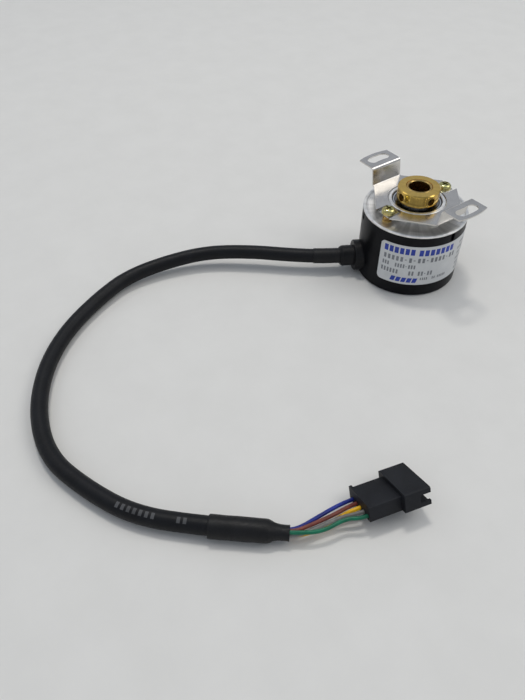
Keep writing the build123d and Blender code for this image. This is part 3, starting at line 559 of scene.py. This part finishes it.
def point_along(line, distance):
    """The point and direction at a distance along a line of points."""
    for first, second in zip(line, line[1:]):
        step = (second - first).length
        if distance <= step:
            return first.lerp(second, distance / step), (second - first).normalized()
        distance -= step
    return line[-1], (line[-1] - line[-2]).normalized()


def build_cable_marks(shape):
    """A row of small curved patches on the cable's skin, one for each mark."""
    skin = CABLE_DIAMETER * MM / 2 + MARK_LIFT
    for index, letter in enumerate(MARK_LETTERS):
        if letter != "#":
            continue
        rows = []
        for along in (0.0, MARK_SHARE):
            centre, direction = point_along(cable_line, MARK_START + (index + along) * MARK_PITCH)
            side = direction.cross(Vector((0, 0, 1))).normalized()
            row = []
            for point in range(MARK_POINTS):
                angle = MARK_LEAN + MARK_STEP * (point - MARK_POINTS // 2)
                outward = math.sin(angle) * side + math.cos(angle) * side.cross(direction)
                row.append(shape.verts.new(centre + skin * outward))
            rows.append(row)
        near, far = rows
        for low in range(MARK_POINTS - 1):
            shape.faces.new((near[low], near[low + 1], far[low + 1], far[low]))


cable_marks = mesh_object("cable_marks", build_cable_marks, print_pale)
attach(cable_marks, "housing")

# ---- boot: a shrunk tube on the cable's own line, with a soft lip at its free end
# start and end are distances from the Z axis
BOOT_START = 25.2 * MM
BOOT_END = 39.0 * MM
BOOT_RADIUS = 3.05 * MM
BOOT_LIP = 0.12 * MM
BOOT_UNEVENNESS = 0.012
BOOT_NOISE_SCALE = 260.0

boot_line = [point for point in cable_line if BOOT_START < math.hypot(point.x, point.y) < BOOT_END]


def build_boot(shape):
    """A tube along the boot's line, closed onto the cable at its free end."""
    rings = []
    for index, centre in enumerate(boot_line):
        before = boot_line[max(0, index - 1)]
        after = boot_line[min(len(boot_line) - 1, index + 1)]
        direction = (after - before).normalized()
        side = direction.cross(Vector((0, 0, 1))).normalized()
        radius = BOOT_RADIUS * (1 + BOOT_UNEVENNESS * noise.noise(centre * BOOT_NOISE_SCALE))
        if index == len(boot_line) - 1:
            lip = centre + direction * BOOT_LIP
            rings.append(ring_at(centre, direction, side, radius * 0.985))
            rings.append(ring_at(lip, direction, side, radius * 0.955))
            rings.append(ring_at(lip, direction, side, CABLE_DIAMETER * MM / 2 * 0.99))
        else:
            rings.append(ring_at(centre, direction, side, radius))
    join_rings(shape, rings)


boot = mesh_object("boot_skin", build_boot, boot_rubber)
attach(boot, "housing")
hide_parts("cable_boot")

# ---- end sleeve: shrink tube with faint wrinkles, pinched to a flattened mouth; in millimetres
SLEEVE_LENGTH = 22.5
SLEEVE_OVERHANG = 7.5
SLEEVE_PINCH_START = 15.0
SLEEVE_RING_STEP = 0.5
SLEEVE_RIPPLE = 0.05
SLEEVE_RIPPLE_SCALE = 420.0
SLEEVE_CREASE = 0.16
SLEEVE_CREASE_SCALE = 900.0
FLOOR_CLEARANCE = 0.03
SLEEVE_DIRECTION = (Vector(CABLE_ROUTE[-1]) - Vector(CABLE_ROUTE[-2])).normalized()
SLEEVE_END = (Vector(CABLE_ROUTE[-1]) + SLEEVE_DIRECTION * SLEEVE_OVERHANG) * MM
SLEEVE_SIDE = SLEEVE_DIRECTION.cross(Vector((0, 0, 1)))
# half width, height above and depth below the axis
SLEEVE_BORE = (2.84, 2.84, 2.84)
SLEEVE_MOUTH_BORE = (1.94, 1.92, 1.80)
SLEEVE_MOUTH_BORE_AT = (22.5, 21.0, 18.5)
# distance from the start, then the same three
SLEEVE_STATIONS = [
    (0.0, 3.36, 3.36, 3.36),
    (0.15, 3.45, 3.45, 3.45),
    (1.2, 3.42, 3.42, 3.42),
    (4.0, 3.38, 3.40, 3.40),
    (8.0, 3.40, 3.38, 3.42),
    (12.0, 3.38, 3.36, 3.42),
    (15.6, 3.36, 3.34, 3.40),
    (16.5, 3.28, 3.26, 3.32),
    (17.2, 3.04, 2.98, 3.08),
    (17.9, 2.70, 2.62, 2.72),
    (18.7, 2.42, 2.34, 2.40),
    (19.8, 2.24, 2.18, 2.24),
    (21.2, 2.16, 2.12, 2.24),
    (22.0, 2.20, 2.10, 2.40),
    (22.5, 2.28, 2.12, 2.58),
]


def sleeve_ring(distance, half_width, above, below, count=56):
    """One slightly uneven ring of the sleeve."""
    points = []
    for index in range(count):
        angle = math.tau * index / count
        rise = above if math.sin(angle) > 0 else below
        flat = half_width * math.cos(angle) * SLEEVE_SIDE + Vector((0, 0, rise * math.sin(angle)))
        centre = SLEEVE_END + SLEEVE_DIRECTION * (distance - SLEEVE_LENGTH) * MM
        place = centre + flat * MM
        pinch = max(0.0, distance - SLEEVE_PINCH_START) / (SLEEVE_LENGTH - SLEEVE_PINCH_START)
        ripple = SLEEVE_RIPPLE * noise.noise(place * SLEEVE_RIPPLE_SCALE)
        ripple += SLEEVE_CREASE * pinch * noise.noise(place * SLEEVE_CREASE_SCALE)
        place += flat.normalized() * ripple * MM
        place.z = max(place.z, FLOOR_CLEARANCE * MM)
        points.append(place)
    return points


def between_stations(distance):
    """Half width, height and depth at a distance, in proportion between the stations."""
    for low, high in zip(SLEEVE_STATIONS, SLEEVE_STATIONS[1:]):
        if distance <= high[0]:
            share = (distance - low[0]) / (high[0] - low[0])
            return [a + (b - a) * share for a, b in zip(low[1:], high[1:])]
    return list(SLEEVE_STATIONS[-1][1:])


def build_sleeve(shape):
    """The sleeve's outer skin, the flat face at its start and the bore behind its mouth."""
    count = round(SLEEVE_LENGTH / SLEEVE_RING_STEP)
    steps = [0.0, 0.15] + [SLEEVE_RING_STEP * step for step in range(1, count + 1)]
    rings = [sleeve_ring(0.0, *SLEEVE_BORE)]
    rings += [sleeve_ring(step, *between_stations(step)) for step in steps]
    rings += [sleeve_ring(distance, *SLEEVE_MOUTH_BORE) for distance in SLEEVE_MOUTH_BORE_AT]
    join_rings(shape, rings)


sleeve = mesh_object("shrink_sleeve", build_sleeve, sleeve_black)
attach(sleeve, "housing")
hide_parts("end_sleeve")

# ---------------------------------------------------------------- printed label

label_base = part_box("type_label")[0].z
LABEL_RADIUS = 20.12 * MM
LABEL_PRINT_LIFT = 0.012 * MM


def printed_patch(shape, start, width, low, height, slant=0.0):
    """A small bar printed on the curved label. Angles in degrees, heights in metres above the base."""
    columns = max(2, int(abs(width) / 2) + 1)
    radius = LABEL_RADIUS + LABEL_PRINT_LIFT
    corners = []
    for row in range(2):
        level = low + height * row
        line = []
        for column in range(columns + 1):
            angle = math.radians(start + width * column / columns + slant * row)
            place = (radius * math.cos(angle), radius * math.sin(angle), level)
            line.append(shape.verts.new(place))
        corners.append(line)
    lower, upper = corners
    for column in range(columns):
        shape.faces.new((lower[column], lower[column + 1], upper[column + 1], upper[column]))


def greeked_row(shape, start, letters, pitch, share, low, height, slant=0.0):
    """A row of blocks in place of letters: a space leaves a gap, a hyphen makes a thin block."""
    angle = start
    for letter in letters:
        if letter == "#":
            printed_patch(shape, angle, pitch * share, low, height, slant)
        elif letter == "-":
            printed_patch(shape, angle, pitch * share * 0.7, low + height * 0.4, height * 0.2)
        angle += pitch


def build_header(shape):
    """The large blue blocks at the label's top and bottom."""
    greeked_row(shape, -75.2, "######", 5.85, 0.74, label_base + 13.9 * MM, 2.7 * MM)
    greeked_row(shape, -37.0, "#######", 6.1, 0.74, label_base + 13.7 * MM, 2.7 * MM)
    greeked_row(shape, -64.0, "#####", 6.0, 0.8, label_base + 1.0 * MM, 2.2 * MM, slant=1.6)


def build_lines(shape):
    """The small grey blocks, in four rows and a column at the right."""
    greeked_row(shape, -74.6, "#####-#-##-####-##", 4.7, 0.6, label_base + 10.5 * MM, 2.1 * MM)
    greeked_row(shape, -75.2, "###  ####-###", 2.9, 0.62, label_base + 7.6 * MM, 1.8 * MM)
    greeked_row(shape, -75.8, "######   ## ##-##", 3.45, 0.6, label_base + 4.5 * MM, 2.0 * MM)
    greeked_row(shape, -31.0, "####  ## #####", 2.3, 0.6, label_base + 2.3 * MM, 1.2 * MM)
    for level, start, letters in (
        (14.2, 17.0, "#### ##"),
        (11.6, 15.0, "#####"),
        (9.2, 16.5, "### ###"),
        (6.6, 15.5, "######"),
        (4.1, 17.0, "#### #"),
        (1.6, 18.0, "#####"),
    ):
        greeked_row(shape, start, letters, 2.6, 0.6, label_base + level * MM, 1.3 * MM)


header_print = mesh_object("label_header_blocks", build_header, print_blue)
line_print = mesh_object("label_line_blocks", build_lines, print_grey)
for piece in (header_print, line_print):
    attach(piece, "housing")

# ---------------------------------------------------------------- floor and light


def floor_material():
    """Pale matt board with a very faint mottle."""
    material, tree, shader = new_material("pale_board")
    place = object_place(tree)
    mottle = noise_of(tree, place, 60.0, 5.0, 0.6)
    tone = mixed(tree, ranged(tree, mottle, 0.0, 1.0), [0.705, 0.700, 0.675], [0.727, 0.722, 0.697])
    tree.links.new(tone, shader.inputs["Base Color"])
    shader.inputs["Roughness"].default_value = 0.62
    bumped(tree, shader, noise_of(tree, place, 900.0, 4.0), 0.15, 0.0001)
    return material


def build_floor(shape):
    """A flat square about the origin."""
    bmesh.ops.create_grid(shape, x_segments=8, y_segments=8, size=2.5)


# a little below the object, so that no face lies in the floor
FLOOR_DROP = 0.05 * MM
floor = mesh_object("floor", build_floor, floor_material())
floor.location = (0.0, 0.0, -FLOOR_DROP)

LIGHT_AIM = Vector((0.0, -0.06, 0.0))
WARM_WHITE = (1.0, 0.965, 0.91)


def ceiling_light(name, azimuth, distance, height, width, depth, power, colour):
    """A soft rectangular light aimed at the object. Azimuth in degrees from +X."""
    lamp = bpy.data.lights.new(name, "AREA")
    lamp.shape = "RECTANGLE"
    lamp.size = width
    lamp.size_y = depth
    lamp.energy = power
    lamp.color = colour
    made = bpy.data.objects.new(name, lamp)
    scene.collection.objects.link(made)
    angle = math.radians(azimuth)
    made.location = (distance * math.cos(angle), distance * math.sin(angle), height)
    aim = LIGHT_AIM - made.location
    made.rotation_mode = "QUATERNION"
    made.rotation_quaternion = aim.to_track_quat("-Z", "Y")


ceiling_light("light_back", 172.0, 0.34, 1.10, 0.18, 0.14, 3.1, WARM_WHITE)
ceiling_light("light_side", 58.0, 1.0, 1.2, 1.0, 0.8, 6.0, WARM_WHITE)
ceiling_light("light_top", 110.0, 0.15, 1.3, 0.9, 0.7, 1.5, WARM_WHITE)
ceiling_light("light_left", 225.0, 1.1, 1.0, 0.5, 0.5, 0.8, (1.0, 0.98, 0.95))

# a dim room in large soft patches, darker overhead
world = bpy.data.worlds.new("room")
world.use_nodes = True
scene.world = world
sky = world.node_tree
background = sky.nodes["Background"]
direction = sky.nodes.new("ShaderNodeTexCoord").outputs["Generated"]
height = add(sky, "ShaderNodeSeparateXYZ", Vector=direction).outputs[2]
climb = ranged(sky, height, 0.0, 1.0, 0.0, 0.8)
patches = add(sky, "ShaderNodeTexNoise", Vector=direction, Scale=2.2, Detail=1.0).outputs[0]
dim = mixed(sky, climb, [0.35, 0.37, 0.40], [0.27, 0.30, 0.345])
bright = mixed(sky, climb, [0.78, 0.81, 0.86], [0.61, 0.66, 0.755])
shade = mixed(sky, ranged(sky, patches, 0.0, 1.0), dim, bright)
sky.links.new(shade, background.inputs["Color"])
background.inputs["Strength"].default_value = 0.76
